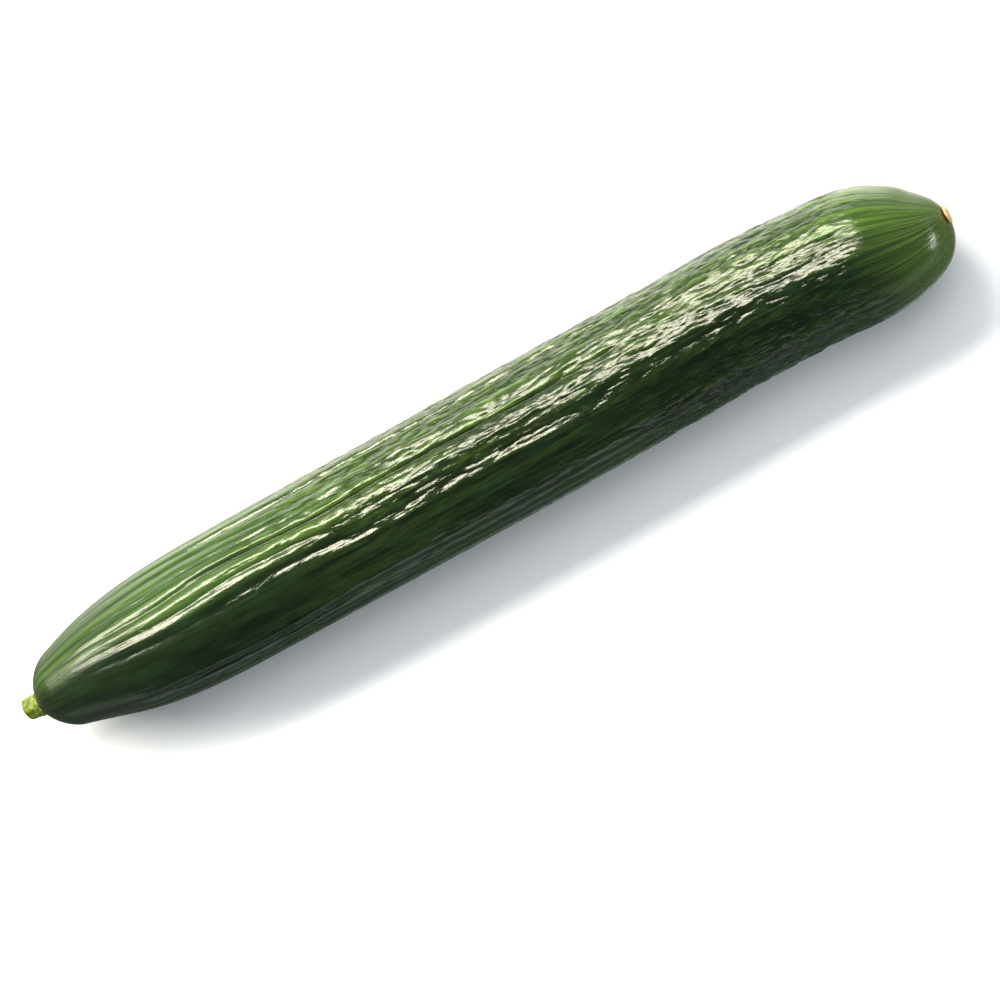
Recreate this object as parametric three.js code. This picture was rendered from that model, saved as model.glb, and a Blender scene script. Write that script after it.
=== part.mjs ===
// A greenhouse cucumber, as picked and laid on its side.
//
// The fruit is one solid, lofted along a slightly bowed centreline. Ribs run its whole length and
// fade into its smooth ends, with creases between them, and low lumps raise the skin of its barrel.
// The cut stub of the stalk stands on a small flat seat at one end, and the corky ring that the
// flower left lies on a smaller seat at the other.
//
// Units are millimetres and +Z is up. +X runs from the stalk to the flower end. The fruit rests on
// the flattened strip under its barrel, at Z = 0, and the origin is below the middle of its box.
import * as THREE from "three";

// The fruit's smooth form. A place along it is its distance from the stalk, and a share is from 0 to 1.
const LENGTH = 319;
const BARREL_RADIUS = 22.15;
const TAPER = 0.05; // share of the radius that the barrel loses towards the flower end
const TAPER_SPAN = [170, 300];
const NECK_SHARE = 0.5; // share of the radius missing at the root of the neck
const NECK_LENGTH = 30;
const NECK_POWER = 1.6;
const STALK_CAP = 8; // length of the round end behind the stalk
const FLOWER_CAP = 36; // length of the round end behind the flower
const STALK_SEAT_RADIUS = 4.4;
const FLOWER_SEAT_RADIUS = 3;
const LOBES = 3; // the fruit grew from three seed chambers, which just show in its section
const LOBE_SHARE = 0.012;
const LOBE_TURN = 0.5;

// The centreline, as [distance from the stalk, sideways, height].
const CENTRELINE = [
  [0, 0.6, 20.4],
  [10, 1.5, 20.6],
  [22, 2.3, 20.8],
  [42, 1.4, 21.1],
  [95, 1.3, 21.6],
  [155, 1.5, 21.5],
  [220, 2, 20.9],
  [265, 2.4, 20.7],
  [290, 1.2, 21.2],
  [305, -1.1, 22.2],
  [LENGTH, -1, 24.8],
];

// The ribs round the section. Each has the angle of its crest, in degrees from straight up and
// positive towards +Y, and the depth of the hollow before the next crest.
const RIBS = [
  { crest: -173, depth: 0.45 },
  { crest: -158, depth: 0.5 },
  { crest: -142, depth: 0.4 },
  { crest: -125, depth: 0.5 },
  { crest: -108, depth: 0.45 },
  { crest: -92, depth: 0.5 },
  { crest: -77, depth: 0.5 },
  { crest: -62, depth: 0.55 },
  { crest: -46, depth: 0.85, facet: true },
  { crest: -9, depth: 0.5 },
  { crest: 5, depth: 0.6 },
  { crest: 18, depth: 0.75 },
  { crest: 31, depth: 0.4 },
  { crest: 43, depth: 0.35 },
  { crest: 56, depth: 0.75 },
  { crest: 71, depth: 0.45 },
  { crest: 86, depth: 0.5 },
  { crest: 102, depth: 0.4 },
  { crest: 118, depth: 0.55 },
  { crest: 135, depth: 0.45 },
  { crest: 152, depth: 0.5 },
  { crest: 169, depth: 0.4 },
];
const CREASE_POWER = 1.6; // above 1, so that a crest is round and the crease beside it is sharp
const RIB_SWAY = 2.2; // degrees that a rib wanders to each side
const RIB_WAVE = 74; // length of one wander
const RIB_RISE = [8, 60]; // where the ribs rise from the smooth stalk end
const RIB_EASE = [150, 235]; // where they grow lower
const RIB_EASE_SHARE = 0.6;
const RIB_END = [285, 312]; // where they fade into the smooth flower end

// The lumps of the skin: one drawn height, up or down, for each cell of a lattice round the barrel.
const LUMP_HEIGHT = 0.32;
const LUMP_LENGTH = 17;
const LUMPS_ROUND = 24;
const LUMP_ROWS = Math.ceil(LENGTH / LUMP_LENGTH) + 2;
const LUMP_RISE = [70, 125];
const LUMP_END = [262, 300];
const LUMP_SEED = 11;

// The cut stalk: a five-sided stub that leans a little and flares at its root.
const STALK_LENGTH = 6;
const STALK_RADIUS = 3.5;
const STALK_SIDES = 5;
const STALK_SIDE_SHARE = 0.09;
const STALK_FLARE = 0.7;
const STALK_FLARE_SHARE = 0.45; // share of the length that flares
const STALK_RIM = 1.1; // radius of the rim round the cut
const STALK_LEAN = new THREE.Vector3(-1, 0.07, -0.06).normalize();

// The corky ring, as its outline from the seat to the hollow in its middle: [height, radius].
const SCAR_OUTLINE = [
  [0, 2.9],
  [0.45, 3.1],
  [0.85, 2.7],
  [1, 2.05],
  [0.8, 1.2],
  [0.5, 0.7],
];
const SCAR_FLOOR = 0.42;
const SCAR_LOBES = 5; // the flower had five petals
const SCAR_LOBE_SHARE = 0.05;
const SCAR_OVAL_SHARE = 0.06;

// How fine the solids are.
const SEAT_GAP = 0.3; // clearance between a seat on the fruit and the piece that stands on it
const RIB_STEPS = 4;
const FACET_STEPS = 6;
const BARREL_STEP = 7.4;
const STALK_CAP_RINGS = 8;
const FLOWER_CAP_RINGS = 11;
const STEPS_PER_SIDE = 6;
const RIM_TURNS = [10, 35, 60, 90];
const STALK_STATIONS = [0.7, 0.5, 0.35, 0.2, 0.1, 0];
const HALVINGS = 40; // enough to find a place on the centreline to the last digit

const DEGREE = Math.PI / 180;
const UP = new THREE.Vector3(0, 0, 1);
const ALONG = new THREE.Vector3(1, 0, 0);
const { lerp, seededRandom, smoothstep } = THREE.MathUtils;
const rise = (x, [from, to]) => smoothstep(x, from, to);
const fall = (x, span) => 1 - rise(x, span);

// A closed solid from rings of points, all with the same count and placed one after another along
// +X or nearly so, with a middle point for the face at each end.
function loftedSolid(rings, firstMiddle, lastMiddle) {
  const count = rings[0].length;
  const points = [firstMiddle, ...rings.flat(), lastMiddle];
  const at = (ring, turn) => 1 + ring * count + (turn % count);
  const faces = [];
  for (let turn = 0; turn < count; turn++) {
    faces.push(0, at(0, turn), at(0, turn + 1));
    for (let ring = 0; ring < rings.length - 1; ring++) {
      faces.push(at(ring, turn), at(ring + 1, turn), at(ring + 1, turn + 1));
      faces.push(at(ring, turn), at(ring + 1, turn + 1), at(ring, turn + 1));
    }
    faces.push(points.length - 1, at(rings.length - 1, turn + 1), at(rings.length - 1, turn));
  }
  const geometry = new THREE.BufferGeometry().setFromPoints(points);
  geometry.setIndex(faces);
  geometry.computeVertexNormals();
  return geometry;
}

// The fruit

// The smooth radius: a barrel with a slight taper, a neck towards the stalk and two round ends.
function smoothRadius(x) {
  const barrel = BARREL_RADIUS * (1 - TAPER * rise(x, TAPER_SPAN));
  const neck = 1 - NECK_SHARE * Math.exp(-((x / NECK_LENGTH) ** NECK_POWER));
  const stalkCap = Math.sqrt(1 - Math.max(0, 1 - x / STALK_CAP) ** 2);
  const flowerCap = Math.sqrt(1 - Math.max(0, 1 - (LENGTH - x) / FLOWER_CAP) ** 2);
  return barrel * neck * stalkCap * flowerCap;
}

// How strong the ribs and the lumps are along the fruit, from 0 to 1.
const ribStrength = (x) => rise(x, RIB_RISE) * (1 - RIB_EASE_SHARE * rise(x, RIB_EASE)) * fall(x, RIB_END);
const lumpStrength = (x) => rise(x, LUMP_RISE) * fall(x, LUMP_END);

// The turns of a section, each with its depth below the crests: RIB_STEPS from one crest to the
// next, where the hollow is a sharp crease, or FACET_STEPS across a hollow that is a flat facet.
const sectionTurns = RIBS.flatMap(({ crest, depth, facet }, i) => {
  const next = i + 1 < RIBS.length ? RIBS[i + 1].crest : RIBS[0].crest + 360;
  const steps = facet ? FACET_STEPS : RIB_STEPS;
  return Array.from({ length: steps }, (_, k) => {
    const fromHollow = Math.abs((2 * k) / steps - 1);
    const profile = facet ? 1 - fromHollow ** 2 : (1 - fromHollow) ** CREASE_POWER;
    return { angle: lerp(crest, next, k / steps), depth: depth * profile };
  });
});

seededRandom(LUMP_SEED);
const lumpHeights = Array.from({ length: LUMP_ROWS }, () =>
  Array.from({ length: LUMPS_ROUND }, () => 2 * seededRandom() - 1),
);

// The height of the lumps at a place and a turn, smooth between the middles of the cells.
function lumpHeight(x, turn) {
  const along = x / LUMP_LENGTH;
  const around = ((turn / (2 * Math.PI) + 1) % 1) * LUMPS_ROUND;
  const row = Math.floor(along);
  const column = Math.floor(around) % LUMPS_ROUND;
  const nextColumn = (column + 1) % LUMPS_ROUND;
  const across = smoothstep(around - column, 0, 1);
  const near = lerp(lumpHeights[row][column], lumpHeights[row][nextColumn], across);
  const far = lerp(lumpHeights[row + 1][column], lumpHeights[row + 1][nextColumn], across);
  return LUMP_HEIGHT * lerp(near, far, smoothstep(along - row, 0, 1));
}

const centreline = new THREE.CatmullRomCurve3(
  CENTRELINE.map((point) => new THREE.Vector3(...point)),
  false,
  "centripetal",
);

// The curve's own parameter at a distance from the stalk, found by halving.
function centrelineShare(x) {
  let low = 0;
  let high = 1;
  for (let k = 0; k < HALVINGS; k++) {
    const middle = (low + high) / 2;
    if (centreline.getPoint(middle).x < x) low = middle;
    else high = middle;
  }
  return low;
}

// One section, square to the centreline and flattened where it meets the surface below.
function fruitRing(x) {
  const share = centrelineShare(x);
  const centre = centreline.getPoint(share);
  const tangent = centreline.getTangent(share);
  const side = UP.clone().cross(tangent).normalize();
  const up = tangent.clone().cross(side);
  return sectionTurns.map(({ angle, depth }) => {
    const sway = RIB_SWAY * Math.sin((2 * Math.PI * x) / RIB_WAVE + LOBES * angle * DEGREE);
    const turn = (angle + sway * ribStrength(x)) * DEGREE;
    const lobes = 1 + LOBE_SHARE * Math.cos(LOBES * turn + LOBE_TURN);
    const relief = lumpStrength(x) * lumpHeight(x, turn) - ribStrength(x) * depth;
    const radius = smoothRadius(x) * lobes + relief;
    const point = centre.clone();
    point.addScaledVector(up, radius * Math.cos(turn));
    point.addScaledVector(side, radius * Math.sin(turn));
    point.z = Math.max(point.z, 0);
    return point;
  });
}

// The places of the sections: even turns round both ends, and even steps along the barrel.
function fruitPlaces() {
  const stalkTurn = Math.asin(STALK_SEAT_RADIUS / smoothRadius(STALK_CAP));
  const flowerTurn = Math.asin(FLOWER_SEAT_RADIUS / smoothRadius(LENGTH - FLOWER_CAP));
  const reach = (from, share) => 1 - Math.cos(lerp(from, Math.PI / 2, share));
  const barrelLength = LENGTH - FLOWER_CAP - STALK_CAP;
  const barrelSteps = Math.round(barrelLength / BARREL_STEP);
  const places = [];
  for (let k = 0; k < STALK_CAP_RINGS; k++) {
    places.push(STALK_CAP * reach(stalkTurn, k / STALK_CAP_RINGS));
  }
  for (let k = 0; k <= barrelSteps; k++) {
    places.push(STALK_CAP + (barrelLength * k) / barrelSteps);
  }
  for (let k = FLOWER_CAP_RINGS - 1; k >= 0; k--) {
    places.push(LENGTH - FLOWER_CAP * reach(flowerTurn, k / FLOWER_CAP_RINGS));
  }
  return places;
}

const places = fruitPlaces();
const fruitRings = places.map(fruitRing);
const middleOf = (ring) => new THREE.Box3().setFromPoints(ring).getCenter(new THREE.Vector3());
const stalkSeat = middleOf(fruitRings[0]);
const flowerSeat = middleOf(fruitRings.at(-1));

const fruit = new THREE.Mesh(
  loftedSolid(fruitRings, stalkSeat, flowerSeat),
  new THREE.MeshStandardMaterial({ color: "#2f5a22", roughness: 0.3, metalness: 0 }),
);
fruit.name = "fruit";

// The stalk

// Its outline from the rim of the cut to the flared root: how far from the seat, and the radius.
function stalkOutline() {
  const rim = RIM_TURNS.map((turn) => [
    STALK_LENGTH - STALK_RIM * (1 - Math.cos(turn * DEGREE)),
    STALK_RADIUS - STALK_RIM * (1 - Math.sin(turn * DEGREE)),
  ]);
  const side = STALK_STATIONS.map((share) => [
    STALK_LENGTH * share,
    STALK_RADIUS + STALK_FLARE * fall(share, [0, STALK_FLARE_SHARE]),
  ]);
  return [...rim, ...side];
}

function stalkRing([reach, radius]) {
  const count = STALK_SIDES * STEPS_PER_SIDE;
  return Array.from({ length: count }, (_, k) => {
    const turn = (2 * Math.PI * k) / count;
    const sided = radius * (1 + STALK_SIDE_SHARE * Math.cos(STALK_SIDES * turn));
    const point = new THREE.Vector3(0, sided * Math.sin(turn), sided * Math.cos(turn));
    return point.addScaledVector(STALK_LEAN, reach);
  });
}

const stalk = new THREE.Mesh(
  loftedSolid(
    stalkOutline().map(stalkRing),
    STALK_LEAN.clone().multiplyScalar(STALK_LENGTH),
    new THREE.Vector3(),
  ),
  new THREE.MeshStandardMaterial({ color: "#93a52c", roughness: 0.5, metalness: 0 }),
);
stalk.name = "stalk";
stalk.position.copy(stalkSeat);
stalk.quaternion.setFromUnitVectors(ALONG, centreline.getTangent(centrelineShare(places[0])));
stalk.translateX(-SEAT_GAP);

// The scar of the flower

function scarRing([height, radius]) {
  const count = SCAR_LOBES * STEPS_PER_SIDE;
  return Array.from({ length: count }, (_, k) => {
    const turn = (2 * Math.PI * k) / count;
    const lobed = 1 + SCAR_LOBE_SHARE * Math.cos(SCAR_LOBES * turn) + SCAR_OVAL_SHARE * Math.cos(2 * turn);
    return new THREE.Vector3(height, radius * lobed * Math.sin(turn), radius * lobed * Math.cos(turn));
  });
}

const blossomScar = new THREE.Mesh(
  loftedSolid(SCAR_OUTLINE.map(scarRing), new THREE.Vector3(), new THREE.Vector3(SCAR_FLOOR, 0, 0)),
  new THREE.MeshStandardMaterial({ color: "#d9a765", roughness: 0.8, metalness: 0 }),
);
blossomScar.name = "blossom_scar";
blossomScar.position.copy(flowerSeat);
blossomScar.quaternion.setFromUnitVectors(ALONG, centreline.getTangent(centrelineShare(places.at(-1))));
blossomScar.translateX(SEAT_GAP);

// The whole cucumber, with the origin below the middle of its box.
const cucumber = new THREE.Group();
cucumber.add(fruit, stalk, blossomScar);
const box = new THREE.Box3().setFromObject(cucumber, true);
const offset = box.getCenter(new THREE.Vector3()).setZ(box.min.z);
cucumber.children.forEach((piece) => piece.position.sub(offset));

export default cucumber;
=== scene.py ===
# A greenhouse cucumber, as picked and laid on its side on a pale studio floor.
#
# +X runs from the stalk to the flower end and +Z is up. Sizes are in millimetres until a mesh is
# made, and a turn round the fruit is in degrees from straight up, positive towards +Y.
import math

import bmesh
import bpy
import numpy as np
from mathutils import Matrix, Quaternion, Vector, noise


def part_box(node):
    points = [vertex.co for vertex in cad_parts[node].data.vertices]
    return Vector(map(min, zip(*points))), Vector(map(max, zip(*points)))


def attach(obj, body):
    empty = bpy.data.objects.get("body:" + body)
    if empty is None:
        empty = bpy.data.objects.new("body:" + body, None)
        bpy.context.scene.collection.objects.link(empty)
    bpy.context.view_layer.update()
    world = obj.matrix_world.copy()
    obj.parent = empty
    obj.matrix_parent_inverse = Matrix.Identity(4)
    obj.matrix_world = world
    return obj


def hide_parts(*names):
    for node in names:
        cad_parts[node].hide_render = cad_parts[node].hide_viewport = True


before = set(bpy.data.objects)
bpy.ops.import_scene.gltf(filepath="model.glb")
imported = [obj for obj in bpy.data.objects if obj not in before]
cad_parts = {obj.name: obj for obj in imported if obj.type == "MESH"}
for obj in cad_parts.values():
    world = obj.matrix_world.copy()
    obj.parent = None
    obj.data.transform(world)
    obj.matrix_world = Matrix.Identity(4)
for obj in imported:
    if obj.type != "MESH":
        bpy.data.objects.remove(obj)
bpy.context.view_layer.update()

# The fruit
# It grew in one piece round three seed chambers: firm flesh under a tough, waxy skin. Low ribs run
# from the stalk to the flower with sharp creases between them, and the skin puffs up in wrinkles
# where it grew faster than the flesh.
MM = 0.001
LENGTH = 319
BARREL_RADIUS = 22.15
TAPER = 0.05
TAPER_SPAN = (170, 300)
NECK_SHARE = 0.5
NECK_LENGTH = 28
NECK_POWER = 1.6
STALK_CAP = 10
FLOWER_CAP = 34.5
STALK_SEAT_RADIUS = 4.4
FLOWER_SEAT_RADIUS = 3
CENTRELINE = (
    (0, 0.6, 20.4),
    (10, 1.2, 20.6),
    (22, 1.6, 20.8),
    (42, 1.2, 21.1),
    (95, 1.3, 21.6),
    (155, 1.5, 21.5),
    (220, 2, 20.9),
    (265, 2.4, 20.7),
    (290, 0.9, 21.2),
    (302, -1.0, 21.9),
    (310, -1.7, 23.0),
    (LENGTH, -1.2, 24.8),
)
# Each rib's crest, the depth of the hollow before the next crest, and how pointed that hollow is:
# above 1 is a sharp crease, and "flat" is a facet.
RIBS = (
    (-173, 0.45, 1.6),
    (-158, 0.5, 1.6),
    (-142, 0.4, 1.6),
    (-125, 0.5, 1.6),
    (-108, 0.45, 1.6),
    (-92, 0.5, 1.6),
    (-77, 0.7, 1.6),
    (-62, 0.8, 1.6),
    (-46, 0.85, "flat"),
    (-9, 0.6, 1.5),
    (5, 0.6, 1.6),
    (18, 0.75, 2.4),
    (31, 0.4, 1.6),
    (43, 0.35, 1.6),
    (56, 0.75, 2.4),
    (71, 0.45, 1.6),
    (86, 0.5, 1.6),
    (102, 0.4, 1.6),
    (118, 0.55, 1.6),
    (135, 0.45, 1.6),
    (152, 0.5, 1.6),
    (169, 0.4, 1.6),
)
RIB_RISE = (8, 60)
RIB_FADE = (100, 150)
RIB_FADED_SHARE = 0.45
RIB_END = (285, 312)
RIB_SWAY = 2.2
RIB_WAVE = 74
LOBES = 3
LOBE_SHARE = 0.012
LOBE_TURN = 0.5
RINGS_STALK_CAP = 14
RINGS_BARREL = 234
RINGS_FLOWER_CAP = 41
TURNS = 336

# The wrinkles of the skin, as layers of puffs with creases between them: the height, length and
# width of a puff, where along the fruit the layer rises and fades, and how wide its creases are.
WRINKLES = (
    ("Lump", 0.50, 15, 6.5, (60, 140), (270, 300), 1.0),
    ("Puff", 0.34, 8.5, 2.9, (60, 150), (200, 260), 0.42),
    ("Crackle", 0.34, 5.0, 3.0, (190, 240), (285, 303), 0.42),
    ("Crinkle", 0.12, 3.2, 1.5, (120, 225), (285, 300), 0.42),
    ("Striation", 0.09, 22, 0.9, (12, 40), (150, 230), 0.42),
)
WRINKLE_SEED = 7
WRINKLE_SEED_STEP = 10.0
WRINKLE_NOISE = {"Scale": 1.0, "Detail": 2.0, "Roughness": 0.45, "Distortion": 0.7}
WRINKLE_NOISE_SPAN = (0.25, 0.75)
WRINKLE_POWER = 1.3
WRINKLE_LEVEL = 0.18
# Towards the stalk, the flank on the -Y side grew sleeker: only the finest layer is whole there.
SLEEK_RISE = (30, 60)
SLEEK_FADE = (195, 230)
SLEEK_EDGE = (-6.0, -22.0)
SLEEK_LOW_EDGE = (-150.0, -110.0)
SLEEK_SHARE = 0.75
# The two deepest creases are split by a seam.
SEAM_TURNS = (26.5, 63.5)
SEAM_WIDTH = 1.2
SEAM_SLOPE = 2.8
SEAM_DEPTH = 0.6
SEAM_RISE = (58, 80)
SEAM_FADE = (195, 225)
# Broad flats and hollows of the section: from one turn to another, how much lower the middle lies
# than the round section, and where along the fruit it rises and fades.
FACETS = (
    (-9, 12, 0.7, (95, 130), (180, 215)),
    (12, 37, 0.85, (118, 150), (208, 236)),
    (41, 65, 0.45, (85, 125), (190, 235)),
    (7, 42, 0.85, (222, 242), (252, 276)),
    (-1, 35, 0.85, (252, 276), (284, 297)),
)

# The colours and the fine relief lie on the skin as if it were unrolled from a cylinder.
SKIN_RADIUS = 22
# Streaks, spots and folds: how long and how wide each is in millimetres, the detail of its noise,
# and the two levels of the noise between which it comes out.
SKIN_PATTERNS = {
    "mottle": (11, 3.5, 3, 0.35, 0.68),
    "streaks": (28, 1.3, 3, 0.42, 0.66),
    "stripes": (60, 3.2, 1, 0.45, 0.62),
    "rays": (160, 0.75, 3, 0.48, 0.60),
    "folds": (3.4, 0.9, 3, 0.25, 0.75),
    "pores": (0.9, 0.5, 2, 0.2, 0.8),
    "gloss": (14, 3, 2, 0.3, 0.7),
}
# Where each change of the skin begins and ends, and its share at either. It follows the place along
# the fruit in millimetres, the turn round it or away from the top in degrees, how squarely the skin
# faces the side that is painted as lit, or how deep it is folded.
SKIN_CHANGES = {
    "seam rise": ("along", *SEAM_RISE, 0, 1),
    "seam fade": ("along", *SEAM_FADE, 1, 0),
    "painted_light": ("facing", 0.25, 0.95, 0, 1),
    "belt": ("along", 80, 125, 0, 1),
    "top before the belt": ("round", 0, 14, 0.2, 1),
    "top after the belt": ("round", 0, 30, 0.25, 1),
    "stalk end": ("along", 12, 60, 0.35, 0.85),
    "painted_crease_shade": ("wrinkle", 0.5, 1.8, 0, 0.6),
    "painted_fill_light": ("aside", 42, 75, 0, 0.6),
    "flower end": ("along", 286, 318, 0, 1),
    "halo": ("along", 316, 321, 0, 1),
    "painted_tip_light": ("along", 292, 319, 0, 0.55),
    "under": ("round", -10, -40, 0.25, 1),
    "fold depth": ("along", 40, 200, 0.35, 1),
    "flank": ("round", *SLEEK_EDGE, 0, SLEEK_SHARE),
    "dull": ("along", 15, 85, 0.20, 0),
}
# The skin's colours, each laid over the one before it by its own share. Some are painted light and
# shade: the side facing the light, the low flanks and the underside of the tip are painted lighter,
# and the creases of the folds and the seams are painted darker.
SKIN_DARK = ("#0b150c", "#132315")
SKIN_LAYERS = {
    "painted lit side": "#2b441d",
    "streaks": "#4f6a26",
    "folds": "#091106",
    "painted_fill_light": "#203a20",
    "painted_seam_shade": "#0c140a",
    "scratches": "#8c9a72",
    "painted_tip_light": "#5e7834",
    "ripe end": "#26401a",
    "rays": "#5b6b31",
}
LIT_SIDE_TURN = 58
STREAK_SHARE = 0.75
STREAK_LEAST = 0.12
STREAK_BEFORE_BELT = 0.5
SEAM_SHADE_SHARE = 0.95
SCRATCH_SHARE = 0.4
RIPE_SHARE = 0.5
RAY_SHARE = 0.45
# Two healed scratches on the unrolled skin, each from one place along and round it to another.
SCRATCHES = ((46.2, 5.3, 50, 3.9), (85, -2.3, 91.8, -0.9))
SCRATCH_WIDTH = 0.22
FOLD_DEPTH = 0.08
FOLD_SHARE_AT_FLOWER = 0.2
CUT_DEPTH = 0.2
RAY_HEIGHT = 0.07
PORE_DEPTH = 0.02
SKIN_ROUGHNESS = (0.10, 0.17)
SKIN_IOR = 1.45
WAX_WEIGHT = 0.15
WAX_ROUGHNESS = 0.08


def smooth_step(x, span):
    """The share of a span that x has passed, easing in and out."""
    share = np.clip((x - span[0]) / (span[1] - span[0]), 0, 1)
    return share * share * (3 - 2 * share)


def smooth_radius(x):
    """The fruit's radius without its ribs: a barrel with a slimmer neck and two round ends."""
    barrel = BARREL_RADIUS * (1 - TAPER * smooth_step(x, TAPER_SPAN))
    neck = 1 - NECK_SHARE * math.exp(-((x / NECK_LENGTH) ** NECK_POWER))
    stalk_cap = math.sqrt(1 - max(0, 1 - x / STALK_CAP) ** 2)
    flower_cap = math.sqrt(1 - max(0, 1 - (LENGTH - x) / FLOWER_CAP) ** 2)
    return barrel * neck * stalk_cap * flower_cap


def ring_places():
    """Even turns round both ends, and even steps along the barrel between them."""
    stalk_turn = math.asin(STALK_SEAT_RADIUS / smooth_radius(STALK_CAP))
    flower_turn = math.asin(FLOWER_SEAT_RADIUS / smooth_radius(LENGTH - FLOWER_CAP))
    stalk_turns = np.linspace(stalk_turn, math.pi / 2, RINGS_STALK_CAP, endpoint=False)
    flower_turns = np.linspace(math.pi / 2, flower_turn, RINGS_FLOWER_CAP + 1)[1:]
    barrel = np.linspace(STALK_CAP, LENGTH - FLOWER_CAP, RINGS_BARREL + 1)
    stalk_cap = STALK_CAP * (1 - np.cos(stalk_turns))
    flower_cap = LENGTH - FLOWER_CAP * (1 - np.cos(flower_turns))
    return np.concatenate([stalk_cap, barrel, flower_cap])


def centre_at(x):
    """A point of the centreline: a cubic through its points, with slopes from their neighbours."""
    points = np.array(CENTRELINE, float)
    slopes = np.gradient(points[:, 1:], points[:, 0], axis=0)
    k = int(np.clip(np.searchsorted(points[:, 0], x) - 1, 0, len(points) - 2))
    step = points[k + 1, 0] - points[k, 0]
    s = (x - points[k, 0]) / step
    start, end = points[k, 1:], points[k + 1, 1:]
    value = (2 * s**3 - 3 * s**2 + 1) * start + (3 * s**2 - 2 * s**3) * end
    value += step * ((s**3 - 2 * s**2 + s) * slopes[k] + (s**3 - s**2) * slopes[k + 1])
    return np.array([x, *value])


def add(tree, kind, inputs=(), **settings):
    """Adds a node, sets its properties, and gives each named or numbered input a value or a link."""
    node = tree.nodes.new(kind)
    node.location = (200 * (len(tree.nodes) % 30), -260 * (len(tree.nodes) // 30))
    for name, value in settings.items():
        setattr(node, name, value)
    for key, value in dict(inputs).items():
        if isinstance(value, bpy.types.NodeSocket):
            tree.links.new(value, node.inputs[key])
        else:
            node.inputs[key].default_value = value
    return node


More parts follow.
